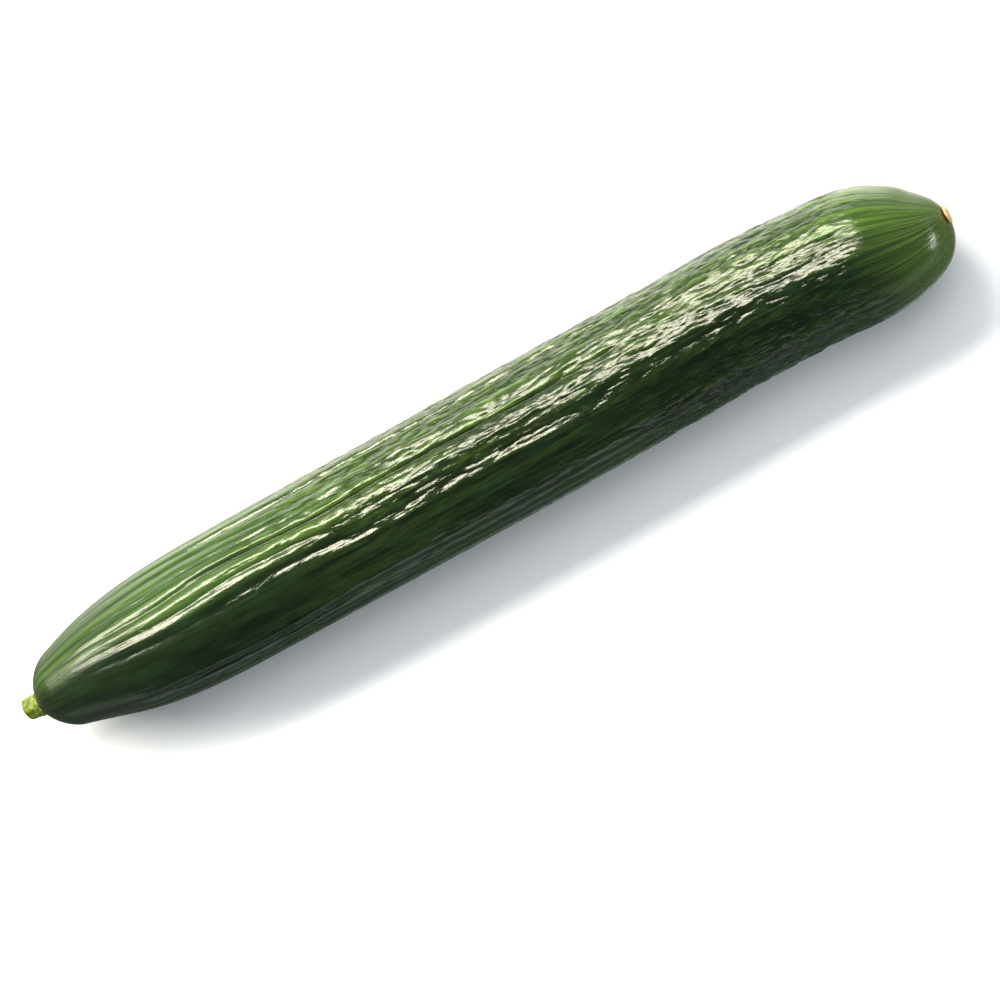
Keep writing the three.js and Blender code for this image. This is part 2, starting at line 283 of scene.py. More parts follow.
def fruit_tree():
    """Sweeps a round section along the spine, and raises the ribs and the wrinkles from it."""
    tree = bpy.data.node_groups.new("Ribbed fruit", "GeometryNodeTree")
    tree.interface.new_socket("Spine", in_out="INPUT", socket_type="NodeSocketGeometry")
    kinds = {"Turns": "Int", "Radius": "Float", "Rib sway": "Float", "Seed": "Float", "Skin": "Material"}
    for name, *_ in WRINKLES:
        kinds |= {f"{name} {size}": "Float" for size in ("height", "length", "width")}
    for name, kind in kinds.items():
        tree.interface.new_socket(name, in_out="INPUT", socket_type=f"NodeSocket{kind}")
    tree.interface.new_socket("Fruit", in_out="OUTPUT", socket_type="NodeSocketGeometry")
    given = add(tree, "NodeGroupInput").outputs

    # The sweep keeps, at each point, the middle of its section and how far along it is.
    position = add(tree, "GeometryNodeInputPosition").outputs[0]
    kept = {
        "middle": ("FLOAT_VECTOR", position),
        "forward": ("FLOAT_VECTOR", add(tree, "GeometryNodeInputTangent").outputs[0]),
        "along": ("FLOAT", add(tree, "GeometryNodeSplineParameter").outputs["Length"]),
    }
    spine = given["Spine"]
    for name, (kind, value) in kept.items():
        store = {"Geometry": spine, "Name": name, "Value": value}
        spine = add(
            tree, "GeometryNodeStoreNamedAttribute", store, data_type=kind, domain="POINT"
        ).outputs[0]
    section = {"Resolution": given["Turns"], "Radius": 1.0}
    section = add(tree, "GeometryNodeCurvePrimitiveCircle", section).outputs["Curve"]
    sweep = {"Curve": spine, "Profile Curve": section, "Fill Caps": True}
    swept = add(tree, "GeometryNodeCurveToMesh", sweep)
    if "Scale" in swept.inputs:
        tree.links.new(add(tree, "GeometryNodeInputRadius").outputs[0], swept.inputs["Scale"])
    body = swept.outputs["Mesh"]

    # The turn of each point round its section, from straight up towards +Y.
    middle, forward, along = (
        add(tree, "GeometryNodeInputNamedAttribute", {"Name": name}, data_type=kind).outputs["Attribute"]
        for name, (kind, _) in kept.items()
    )
    spoke = add(tree, "ShaderNodeVectorMath", {0: position, 1: middle}, operation="SUBTRACT").outputs[0]
    side = {0: (0, 0, 1), 1: forward}
    side = add(tree, "ShaderNodeVectorMath", side, operation="CROSS_PRODUCT").outputs[0]
    up = {0: forward, 1: side}
    up = add(tree, "ShaderNodeVectorMath", up, operation="CROSS_PRODUCT").outputs[0]
    across = {0: spoke, 1: side}
    across = add(tree, "ShaderNodeVectorMath", across, operation="DOT_PRODUCT").outputs["Value"]
    upward = {0: spoke, 1: up}
    upward = add(tree, "ShaderNodeVectorMath", upward, operation="DOT_PRODUCT").outputs["Value"]
    turn = add(tree, "ShaderNodeMath", {0: across, 1: upward}, operation="ARCTAN2").outputs[0]
    degrees = add(tree, "ShaderNodeMath", {0: turn}, operation="DEGREES").outputs[0]

    def shape_along(rises, fades, low=0.0):
        """A strength along the fruit that rises over one span and fades over another."""
        rise = {"Value": along, "From Min": rises[0] * MM, "From Max": rises[1] * MM}
        rise = add(tree, "ShaderNodeMapRange", rise, interpolation_type="SMOOTHSTEP").outputs[0]
        fade = {"Value": along, "From Min": fades[0] * MM, "From Max": fades[1] * MM}
        fade |= {"To Min": 1.0, "To Max": low}
        fade = add(tree, "ShaderNodeMapRange", fade, interpolation_type="SMOOTHSTEP").outputs[0]
        return add(tree, "ShaderNodeMath", {0: rise, 1: fade}, operation="MULTIPLY").outputs[0]

    rib_strength = shape_along(RIB_RISE, RIB_FADE, RIB_FADED_SHARE)
    rib_end = {"Value": along, "From Min": RIB_END[0] * MM, "From Max": RIB_END[1] * MM}
    rib_end |= {"To Min": 1.0, "To Max": 0.0}
    rib_end = add(tree, "ShaderNodeMapRange", rib_end, interpolation_type="SMOOTHSTEP").outputs[0]
    rib_strength = {0: rib_strength, 1: rib_end}
    rib_strength = add(tree, "ShaderNodeMath", rib_strength, operation="MULTIPLY").outputs[0]

    # The ribs wander a little to each side on their way.
    wave = {0: along, 1: 2 * math.pi / (RIB_WAVE * MM)}
    wave = add(tree, "ShaderNodeMath", wave, operation="MULTIPLY").outputs[0]
    wave = add(tree, "ShaderNodeMath", {0: turn, 1: LOBES, 2: wave}, operation="MULTIPLY_ADD").outputs[0]
    wave = add(tree, "ShaderNodeMath", {0: wave}, operation="SINE").outputs[0]
    sway = add(tree, "ShaderNodeMath", {0: wave, 1: given["Rib sway"]}, operation="MULTIPLY").outputs[0]
    sway = add(tree, "ShaderNodeMath", {0: sway, 1: rib_strength}, operation="MULTIPLY").outputs[0]
    around = add(tree, "ShaderNodeMath", {0: degrees, 1: sway}, operation="SUBTRACT").outputs[0]
    first_crest = RIBS[0][0]
    around = {0: around, 1: first_crest + 360, 2: first_crest}
    around = add(tree, "ShaderNodeMath", around, operation="WRAP").outputs[0]

    # Each hollow between two crests adds its own depth, and is nothing outside them.
    crease = 0.0
    hollow = 0.0
    next_crests = [crest for crest, *_ in RIBS[1:]] + [first_crest + 360]
    for (crest, depth, form), next_crest in zip(RIBS, next_crests):
        share = {"Value": around, "From Min": crest, "From Max": next_crest, "To Min": -1.0}
        share = add(tree, "ShaderNodeMapRange", share).outputs[0]
        from_middle = add(tree, "ShaderNodeMath", {0: share}, operation="ABSOLUTE").outputs[0]
        if form == "flat":
            profile = add(tree, "ShaderNodeMath", {0: from_middle, 1: 2.0}, operation="POWER").outputs[0]
            profile = add(tree, "ShaderNodeMath", {0: 1.0, 1: profile}, operation="SUBTRACT").outputs[0]
        else:
            profile = {0: 1.0, 1: from_middle}
            profile = add(tree, "ShaderNodeMath", profile, operation="SUBTRACT").outputs[0]
            profile = add(tree, "ShaderNodeMath", {0: profile, 1: form}, operation="POWER").outputs[0]
            hollow = add(tree, "ShaderNodeMath", {0: profile, 1: hollow}, operation="ADD").outputs[0]
        crease = {0: profile, 1: depth * MM, 2: crease}
        crease = add(tree, "ShaderNodeMath", crease, operation="MULTIPLY_ADD").outputs[0]
    crease = add(tree, "ShaderNodeMath", {0: crease, 1: rib_strength}, operation="MULTIPLY").outputs[0]

    # So do the broad flats and hollows.
    for first_turn, last_turn, depth, rises, fades in FACETS:
        share = {"Value": around, "From Min": first_turn, "From Max": last_turn, "To Min": -1.0}
        share = add(tree, "ShaderNodeMapRange", share).outputs[0]
        profile = add(tree, "ShaderNodeMath", {0: share, 1: share}, operation="MULTIPLY").outputs[0]
        profile = add(tree, "ShaderNodeMath", {0: 1.0, 1: profile}, operation="SUBTRACT").outputs[0]
        profile = {0: profile, 1: shape_along(rises, fades)}
        profile = add(tree, "ShaderNodeMath", profile, operation="MULTIPLY").outputs[0]
        crease = {0: profile, 1: depth * MM, 2: crease}
        crease = add(tree, "ShaderNodeMath", crease, operation="MULTIPLY_ADD").outputs[0]

    seam_strength = shape_along(SEAM_RISE, SEAM_FADE)
    for seam_turn in SEAM_TURNS:
        away = add(tree, "ShaderNodeMath", {0: around, 1: seam_turn}, operation="SUBTRACT").outputs[0]
        away = add(tree, "ShaderNodeMath", {0: away}, operation="ABSOLUTE").outputs[0]
        groove = {"Value": away, "From Max": SEAM_SLOPE, "To Min": 1.0, "To Max": 0.0}
        groove = add(tree, "ShaderNodeMapRange", groove).outputs[0]
        groove = add(tree, "ShaderNodeMath", {0: groove, 1: seam_strength}, operation="MULTIPLY").outputs[0]
        crease = {0: groove, 1: SEAM_DEPTH * MM, 2: crease}
        crease = add(tree, "ShaderNodeMath", crease, operation="MULTIPLY_ADD").outputs[0]

    # Where each point lies on the unrolled skin, for patterns that run with the ribs.
    lie = {0: along}
    for k, operation in ((1, "SINE"), (2, "COSINE")):
        arm = add(tree, "ShaderNodeMath", {0: turn}, operation=operation).outputs[0]
        lie[k] = add(tree, "ShaderNodeMath", {0: arm, 1: given["Radius"]}, operation="MULTIPLY").outputs[0]
    lie = add(tree, "ShaderNodeCombineXYZ", lie).outputs[0]

    # The lobes, the creases and then each layer of wrinkles give how far the skin moves.
    lobe = {0: turn, 1: LOBES, 2: LOBE_TURN}
    lobe = add(tree, "ShaderNodeMath", lobe, operation="MULTIPLY_ADD").outputs[0]
    lobe = add(tree, "ShaderNodeMath", {0: lobe}, operation="COSINE").outputs[0]
    radius = add(tree, "ShaderNodeVectorMath", {0: spoke}, operation="LENGTH").outputs["Value"]
    lobe = add(tree, "ShaderNodeMath", {0: lobe, 1: radius}, operation="MULTIPLY").outputs[0]
    relief = add(tree, "ShaderNodeMath", {0: lobe, 1: LOBE_SHARE}, operation="MULTIPLY").outputs[0]
    relief = add(tree, "ShaderNodeMath", {0: relief, 1: crease}, operation="SUBTRACT").outputs[0]

    # The share of the wrinkles that is left on the sleek flank.
    sleek = shape_along(SLEEK_RISE, SLEEK_FADE)
    for edge in (SLEEK_EDGE, SLEEK_LOW_EDGE):
        inside = {"Value": around, "From Min": edge[0], "From Max": edge[1]}
        inside = add(tree, "ShaderNodeMapRange", inside, interpolation_type="SMOOTHSTEP").outputs[0]
        sleek = add(tree, "ShaderNodeMath", {0: sleek, 1: inside}, operation="MULTIPLY").outputs[0]
    wrinkled = {0: sleek, 1: -SLEEK_SHARE, 2: 1.0}
    wrinkled = add(tree, "ShaderNodeMath", wrinkled, operation="MULTIPLY_ADD").outputs[0]

    puffs = 0.0
    for k, (layer, *_, rises, fades, crease_width) in enumerate(WRINKLES):
        size = {0: given[f"{layer} length"], 1: given[f"{layer} width"], 2: given[f"{layer} width"]}
        size = add(tree, "ShaderNodeCombineXYZ", size).outputs[0]
        scaled = add(tree, "ShaderNodeVectorMath", {0: lie, 1: size}, operation="DIVIDE").outputs[0]
        seed = {0: given["Seed"], 1: WRINKLE_SEED_STEP * k}
        seed = add(tree, "ShaderNodeMath", seed, operation="ADD").outputs[0]
        cloud = {"Vector": scaled, "W": seed} | WRINKLE_NOISE
        cloud = add(tree, "ShaderNodeTexNoise", cloud, noise_dimensions="4D").outputs[0]
        ridge = {"Value": cloud, "From Min": WRINKLE_NOISE_SPAN[0], "From Max": WRINKLE_NOISE_SPAN[1]}
        ridge = add(tree, "ShaderNodeMapRange", ridge | {"To Min": -1.0}).outputs[0]
        ridge = add(tree, "ShaderNodeMath", {0: ridge}, operation="ABSOLUTE").outputs[0]
        valley = {"Value": ridge, "From Max": crease_width, "To Min": 1.0, "To Max": 0.0}
        valley = add(tree, "ShaderNodeMapRange", valley).outputs[0]
        valley = add(tree, "ShaderNodeMath", {0: valley, 1: WRINKLE_POWER}, operation="POWER").outputs[0]
        strength = shape_along(rises, fades)
        if layer != "Striation":
            strength = {0: strength, 1: wrinkled}
            strength = add(tree, "ShaderNodeMath", strength, operation="MULTIPLY").outputs[0]
        puffed = add(tree, "ShaderNodeMath", {0: valley, 1: strength}, operation="MULTIPLY").outputs[0]
        puffs = add(tree, "ShaderNodeMath", {0: puffed, 1: puffs}, operation="ADD").outputs[0]
        dip = add(tree, "ShaderNodeMath", {0: valley, 1: WRINKLE_LEVEL}, operation="SUBTRACT").outputs[0]
        for factor in (strength, given[f"{layer} height"]):
            dip = add(tree, "ShaderNodeMath", {0: dip, 1: factor}, operation="MULTIPLY").outputs[0]
        relief = add(tree, "ShaderNodeMath", {0: relief, 1: dip}, operation="SUBTRACT").outputs[0]
    normal = add(tree, "GeometryNodeInputNormal").outputs[0]
    offset = add(tree, "ShaderNodeVectorMath", {0: normal, "Scale": relief}, operation="SCALE").outputs[0]

    # The patterns of the skin read these. They are stored before the skin moves.
    for name, kind, value in (
        ("lie", "FLOAT_VECTOR", lie),
        ("hollow", "FLOAT", hollow),
        ("round", "FLOAT", around),
        ("wrinkle", "FLOAT", puffs),
    ):
        store = {"Geometry": body, "Name": name, "Value": value}
        body = add(
            tree, "GeometryNodeStoreNamedAttribute", store, data_type=kind, domain="POINT"
        ).outputs[0]
    body = add(tree, "GeometryNodeSetPosition", {"Geometry": body, "Offset": offset}).outputs[0]

    # The weight of the fruit presses it flat where it rests.
    parts = add(tree, "ShaderNodeSeparateXYZ", {0: position}).outputs
    above = add(tree, "ShaderNodeMath", {0: parts[2], 1: 0.0}, operation="MAXIMUM").outputs[0]
    rested = add(tree, "ShaderNodeCombineXYZ", {0: parts[0], 1: parts[1], 2: above}).outputs[0]
    body = add(tree, "GeometryNodeSetPosition", {"Geometry": body, "Position": rested}).outputs[0]
    for name in ("middle", "forward"):
        body = add(tree, "GeometryNodeRemoveAttribute", {"Geometry": body, "Name": name}).outputs[0]
    body = add(tree, "GeometryNodeSetShadeSmooth", {"Geometry": body}).outputs[0]
    body = add(tree, "GeometryNodeRealizeInstances", {"Geometry": body}).outputs[0]
    body = add(tree, "GeometryNodeSetMaterial", {"Geometry": body, "Material": given["Skin"]}).outputs[0]
    add(tree, "NodeGroupOutput", {0: body})
    return tree


def linear(code, alpha=1.0):
    """An sRGB hex colour as linear light."""
    channels = [int(code[k : k + 2], 16) / 255 for k in (1, 3, 5)]
    return tuple(c / 12.92 if c <= 0.04045 else ((c + 0.055) / 1.055) ** 2.4 for c in channels) + (alpha,)


def waxy_skin():
    """Waxy cucumber skin: dark green with paler streaks along the ribs, under a thin glossy bloom, with
    light and shade painted into its colour.
    """
    material = bpy.data.materials.new("Waxy cucumber skin")
    material.use_nodes = True
    tree = material.node_tree
    shader = tree.nodes["Principled BSDF"]
    lie = add(tree, "ShaderNodeAttribute", attribute_name="lie").outputs["Vector"]
    along, around, hollow, wrinkle = (
        add(tree, "ShaderNodeAttribute", attribute_name=name).outputs["Fac"]
        for name in ("along", "round", "hollow", "wrinkle")
    )
    patterns = {}
    for name, (length, width, detail, low, high) in SKIN_PATTERNS.items():
        sizes = (length * MM, width * MM, width * MM)
        scaled = add(tree, "ShaderNodeVectorMath", {0: lie, 1: sizes}, operation="DIVIDE").outputs[0]
        cloud = {"Vector": scaled, "Scale": 1.0, "Detail": detail}
        cloud = add(tree, "ShaderNodeTexNoise", cloud).outputs[0]
        shown = {"Value": cloud, "From Min": low, "From Max": high}
        shown = add(tree, "ShaderNodeMapRange", shown, interpolation_type="SMOOTHSTEP")
        patterns[name] = shown.outputs[0]

    # The side that faces the light, towards +Y, is painted paler than the side away from it: painted light
    # and shade.
    lit_side_turn = math.radians(LIT_SIDE_TURN)
    lit_side_way = (0, math.sin(lit_side_turn) / (SKIN_RADIUS * MM), math.cos(lit_side_turn) / (SKIN_RADIUS * MM))
    facing = add(tree, "ShaderNodeVectorMath", {0: lie, 1: lit_side_way}, operation="DOT_PRODUCT")
    aside = add(tree, "ShaderNodeMath", {0: around}, operation="ABSOLUTE").outputs[0]
    followed = {
        "along": along,
        "round": around,
        "aside": aside,
        "facing": facing.outputs["Value"],
        "wrinkle": wrinkle,
    }
    changes = {}
    for name, (source, start, end, low, high) in SKIN_CHANGES.items():
        unit = MM if source == "along" else 1
        change = {"Value": followed[source], "From Min": start * unit, "From Max": end * unit}
        change |= {"To Min": low, "To Max": high}
        change = add(tree, "ShaderNodeMapRange", change, interpolation_type="SMOOTHSTEP")
        changes[name] = change.outputs[0]
    top = {0: changes["belt"], 2: changes["top before the belt"], 3: changes["top after the belt"]}
    top = add(tree, "ShaderNodeMix", top, data_type="FLOAT").outputs[0]
    painted_light = add(tree, "ShaderNodeMath", {0: changes["painted_light"], 1: top}, operation="MULTIPLY").outputs[0]
    shares = {}
    painted_lit_side = {0: painted_light, 1: changes["stalk end"]}
    shares["painted lit side"] = add(tree, "ShaderNodeMath", painted_lit_side, operation="MULTIPLY").outputs[0]

    # Streaks and broader stripes run along the crests. They are painted strongest on the side facing the
    # light, so they are partly painted light.
    crest = add(tree, "ShaderNodeMath", {0: 1.0, 1: hollow}, operation="SUBTRACT").outputs[0]
    light = {0: patterns["streaks"], 1: patterns["stripes"]}
    light = add(tree, "ShaderNodeMath", light, operation="MAXIMUM").outputs[0]
    amount = {0: painted_light, 1: STREAK_SHARE, 2: STREAK_LEAST}
    amount = add(tree, "ShaderNodeMath", amount, operation="MULTIPLY_ADD").outputs[0]
    by_belt = {"Value": changes["belt"], "To Min": STREAK_BEFORE_BELT, "To Max": 1.0}
    by_belt = add(tree, "ShaderNodeMapRange", by_belt).outputs[0]
    for factor in (crest, amount, by_belt):
        light = add(tree, "ShaderNodeMath", {0: light, 1: factor}, operation="MULTIPLY").outputs[0]
    shares["streaks"] = light
    # The creases of the wrinkles are painted darker: painted shade.
    shares["folds"] = changes["painted_crease_shade"]

    # Low on its flanks, away from the light, the skin is painted a little lighter and duller: painted fill
    # light.
    dark_side = add(tree, "ShaderNodeMath", {0: 1.0, 1: painted_light}, operation="SUBTRACT").outputs[0]
    painted_fill_light = {0: changes["painted_fill_light"], 1: dark_side}
    shares["painted_fill_light"] = add(tree, "ShaderNodeMath", painted_fill_light, operation="MULTIPLY").outputs[0]

    # The seams are as fine as a hair, and painted dark: painted shade in their grooves.
    seam = 0.0
    for seam_turn in SEAM_TURNS:
        away = add(tree, "ShaderNodeMath", {0: around, 1: seam_turn}, operation="SUBTRACT").outputs[0]
        away = add(tree, "ShaderNodeMath", {0: away}, operation="ABSOLUTE").outputs[0]
        split = {"Value": away, "From Max": SEAM_WIDTH, "To Min": 1.0, "To Max": 0.0}
        split = add(tree, "ShaderNodeMapRange", split, interpolation_type="SMOOTHSTEP").outputs[0]
        seam = add(tree, "ShaderNodeMath", {0: split, 1: seam}, operation="ADD").outputs[0]
    for factor in (changes["seam rise"], changes["seam fade"]):
        seam = add(tree, "ShaderNodeMath", {0: seam, 1: factor}, operation="MULTIPLY").outputs[0]
    shares["painted_seam_shade"] = add(tree, "ShaderNodeMath", {0: seam, 1: SEAM_SHADE_SHARE}, operation="MULTIPLY").outputs[0]

    # The scratches have healed to pale lines.
    unrolled = {0: around, 1: math.radians(SKIN_RADIUS * MM)}
    unrolled = add(tree, "ShaderNodeMath", unrolled, operation="MULTIPLY").outputs[0]
    spot = add(tree, "ShaderNodeCombineXYZ", {0: along, 1: unrolled}).outputs[0]
    scratch = 0.0
    for x, y, end_x, end_y in SCRATCHES:
        run = Vector((end_x - x, end_y - y, 0)) * MM
        from_start = {0: spot, 1: (x * MM, y * MM, 0)}
        from_start = add(tree, "ShaderNodeVectorMath", from_start, operation="SUBTRACT").outputs[0]
        share = {0: from_start, 1: run / run.length_squared}
        share = add(tree, "ShaderNodeVectorMath", share, operation="DOT_PRODUCT").outputs["Value"]
        share = add(tree, "ShaderNodeClamp", {0: share}).outputs[0]
        near = add(tree, "ShaderNodeVectorMath", {0: run, "Scale": share}, operation="SCALE").outputs[0]
        gap = add(tree, "ShaderNodeVectorMath", {0: from_start, 1: near}, operation="DISTANCE")
        line = {"Value": gap.outputs["Value"], "From Max": SCRATCH_WIDTH * MM, "To Min": 1.0, "To Max": 0.0}
        line = add(tree, "ShaderNodeMapRange", line, interpolation_type="SMOOTHSTEP").outputs[0]
        scratch = add(tree, "ShaderNodeMath", {0: line, 1: scratch}, operation="MAXIMUM").outputs[0]
    pale_line = {0: scratch, 1: SCRATCH_SHARE}
    shares["scratches"] = add(tree, "ShaderNodeMath", pale_line, operation="MULTIPLY").outputs[0]

    # Thin pale streaks run together at the flower end, and the skin round the scar is paler still.
    flower = changes["flower end"]
    # The tip's side away from the light is painted lighter: painted light where little light falls.
    painted_tip_light = {0: changes["painted_tip_light"], 1: changes["under"]}
    shares["painted_tip_light"] = add(tree, "ShaderNodeMath", painted_tip_light, operation="MULTIPLY").outputs[0]
    ripe = {0: flower, 1: RIPE_SHARE}
    shares["ripe end"] = add(tree, "ShaderNodeMath", ripe, operation="MULTIPLY").outputs[0]
    rays = {0: patterns["rays"], 1: flower}
    rays = add(tree, "ShaderNodeMath", rays, operation="MULTIPLY").outputs[0]
    pale_rays = add(tree, "ShaderNodeMath", {0: rays, 1: RAY_SHARE}, operation="MULTIPLY").outputs[0]
    pale_rays = {0: pale_rays, 1: changes["halo"]}
    shares["rays"] = add(tree, "ShaderNodeMath", pale_rays, operation="MAXIMUM").outputs[0]

    darkest, dark = (linear(code) for code in SKIN_DARK)
    colour = {0: patterns["mottle"], 6: darkest, 7: dark}
    colour = add(tree, "ShaderNodeMix", colour, data_type="RGBA").outputs[2]
    for name, code in SKIN_LAYERS.items():
        colour = {0: shares[name], 6: colour, 7: linear(code)}
        colour = add(tree, "ShaderNodeMix", colour, data_type="RGBA").outputs[2]

    # Folds too fine for the mesh deepen towards the flower, except on the sleek flank.
    calm = {"Value": flower, "To Min": 1.0, "To Max": FOLD_SHARE_AT_FLOWER}
    calm = add(tree, "ShaderNodeMapRange", calm).outputs[0]
    sleek = {"Value": along, "From Min": SLEEK_FADE[0] * MM, "From Max": SLEEK_FADE[1] * MM}
    sleek = add(tree, "ShaderNodeMapRange", sleek | {"To Min": 1.0, "To Max": 0.0}).outputs[0]
    sleek = {0: sleek, 1: changes["flank"]}
    sleek = add(tree, "ShaderNodeMath", sleek, operation="MULTIPLY").outputs[0]
    rough_flank = add(tree, "ShaderNodeMath", {0: 1.0, 1: sleek}, operation="SUBTRACT").outputs[0]
    depth = changes["fold depth"]
    for factor in (calm, rough_flank):
        depth = add(tree, "ShaderNodeMath", {0: depth, 1: factor}, operation="MULTIPLY").outputs[0]
    folds = {0: patterns["folds"], 1: depth}
    folds = add(tree, "ShaderNodeMath", folds, operation="MULTIPLY").outputs[0]

    # The fine relief is laid on in turn: the folds, the cuts, the rays, and pores, which are pits
    # 0.5 mm wide.
    cuts = add(tree, "ShaderNodeMath", {0: seam, 1: scratch}, operation="MAXIMUM").outputs[0]
    uncut = add(tree, "ShaderNodeMath", {0: 1.0, 1: cuts}, operation="SUBTRACT").outputs[0]
    bump = {"Height": folds, "Distance": FOLD_DEPTH * MM, "Strength": 1.0}
    bump = add(tree, "ShaderNodeBump", bump).outputs[0]
    for height, distance in ((uncut, CUT_DEPTH), (rays, RAY_HEIGHT), (patterns["pores"], PORE_DEPTH)):
        bump = {"Height": height, "Distance": distance * MM, "Strength": 1.0, "Normal": bump}
        bump = add(tree, "ShaderNodeBump", bump).outputs[0]

    # The wax is glossy in patches, and dull near the stalk.
    rough = {"Value": patterns["gloss"], "To Min": SKIN_ROUGHNESS[0], "To Max": SKIN_ROUGHNESS[1]}
    rough = add(tree, "ShaderNodeMapRange", rough).outputs[0]
    rough = add(tree, "ShaderNodeMath", {0: rough, 1: changes["dull"]}, operation="ADD").outputs[0]
    for name, value in (("Base Color", colour), ("Roughness", rough), ("Normal", bump)):
        tree.links.new(value, shader.inputs[name])
    shader.inputs["IOR"].default_value = SKIN_IOR
    shader.inputs["Coat Weight"].default_value = WAX_WEIGHT
    shader.inputs["Coat Roughness"].default_value = WAX_ROUGHNESS
    return material


def put_over(piece, node, axes=(0, 1, 2)):
    """Moves a mesh so that the middle of its box lies at the middle of its CAD node's box."""
    corners = [Vector(corner) for corner in piece.bound_box]
    low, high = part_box(node)
    shift = Vector()
    for k in axes:
        middle = (min(c[k] for c in corners) + max(c[k] for c in corners)) / 2
        shift[k] = (low[k] + high[k]) / 2 - middle
    piece.data.transform(Matrix.Translation(shift))


skin = waxy_skin()
spine_data = bpy.data.curves.new("spine", "CURVE")
spine_data.dimensions = "3D"
line = spine_data.splines.new("POLY")
places = ring_places()
line.points.add(len(places) - 1)
for point, x in zip(line.points, places):
    point.co = (*(centre_at(x) * MM), 1)
    point.radius = smooth_radius(x) * MM
spine_object = bpy.data.objects.new("spine", spine_data)
bpy.context.scene.collection.objects.link(spine_object)
sweep = spine_object.modifiers.new("Ribbed fruit", "NODES")
sweep.node_group = fruit_tree()
values = {"Turns": TURNS, "Radius": SKIN_RADIUS * MM, "Rib sway": RIB_SWAY}
values |= {"Seed": float(WRINKLE_SEED), "Skin": skin}
for name, height, length, width, *_ in WRINKLES:
    values |= {f"{name} height": height * MM, f"{name} length": length * MM, f"{name} width": width * MM}
for item in sweep.node_group.interface.items_tree:
    if item.name in values:
        sweep[item.identifier] = values[item.name]
bpy.context.view_layer.update()
evaluated = spine_object.evaluated_get(bpy.context.evaluated_depsgraph_get())
mesh = bpy.data.meshes.new_from_object(evaluated)
bpy.data.objects.remove(spine_object)
fruit = bpy.data.objects.new("cucumber_fruit", mesh)
bpy.context.scene.collection.objects.link(fruit)
put_over(fruit, "fruit", axes=(0, 1))
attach(fruit, "root")
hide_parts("fruit")

# The stalk
# A cut stub of the stem, which feeds the fruit: five soft ridges of green stem with sap-bright
# specks, flared where it grows into the fruit, and a dry tan face where the knife went through.
STALK_LENGTH = 6
STALK_RADIUS = 3.5
STALK_FLARE = 0.35
STALK_FLARE_SHARE = 0.45
STALK_RIM = 1.9
STALK_RIDGES = 5
STALK_RIDGE_SHARE = 0.05
STALK_BUMP = 0.16
STALK_FINE_BUMP = 0.07
STALK_BUMP_STRETCH = 0.35
STALK_BUMPS_ROUND = 3
STALK_FINENESS = 3.1
STALK_LEAN = Vector((-1, 0.07, -0.06)).normalized()
STALK_SPECKS_FADE = (0.35, 0.8)
STALK_TURNS = 160
STALK_RINGS = 56
# The face of the cut sinks inside its rim, rises a little in the middle, and is dry up to its edge.
CUT_RINGS = 26
CUT_RIM_RINGS = 8
CUT_DRY_RINGS = (2, 6)
CUT_SINK = 0.35
CUT_SINK_SPAN = (0.05, 0.35)
CUT_RISE = 0.12
CUT_RISE_SPAN = (0.6, 0.9)
STEM_GREENS = ("#3c5210", "#66780f")
STEM_TANS = ("#8a6a3c", "#b79a68")
STEM_SPECKS = "#b4b06c"
# The patches' size in millimetres, their detail, and the two levels of noise that bound them.
STEM_PATTERNS = {
    "greens": (1.6, 3, 0.35, 0.65),
    "specks": (0.55, 1, 0.56, 0.66),
    "tans": (0.7, 3, 0.35, 0.65),
    "grain": (0.45, 3, 0.2, 0.8),
}
STEM_GRAIN = 0.12
STEM_ROUGHNESS = 0.34
STEM_IOR = 1.42
STEM_GLOW = 0.15
STEM_GLOW_REACH = 0.6


def lofted(name, rings, marks, material):
    """A closed mesh over rings of points, in millimetres, with one number for each point's mark."""
    count = len(rings[0])
    points = [sum(rings[0], Vector()) / count]
    for ring in rings:
        points += ring
    points.append(sum(rings[-1], Vector()) / count)
    faces = []
    for turn in range(count):
        after = (turn + 1) % count
        faces.append((0, 1 + turn, 1 + after))
        for k in range(len(rings) - 1):
            low, high = 1 + k * count, 1 + (k + 1) * count
            faces.append((low + turn, high + turn, high + after, low + after))
        last = 1 + (len(rings) - 1) * count
        faces.append((len(points) - 1, last + after, last + turn))
    made = bpy.data.meshes.new(name)
    made.from_pydata([point * MM for point in points], [], faces)
    checked = bmesh.new()
    checked.from_mesh(made)
    bmesh.ops.recalc_face_normals(checked, faces=checked.faces)
    checked.to_mesh(made)
    checked.free()
    made.shade_smooth()
    for label, marked in marks.items():
        attribute = made.attributes.new(label, "FLOAT", "POINT")
        spread = [marked[0]] + [value for value in marked for _ in range(count)] + [marked[-1]]
        attribute.data.foreach_set("value", spread)
    made.materials.append(material)
    piece = bpy.data.objects.new(name, made)
    bpy.context.scene.collection.objects.link(piece)
    return piece


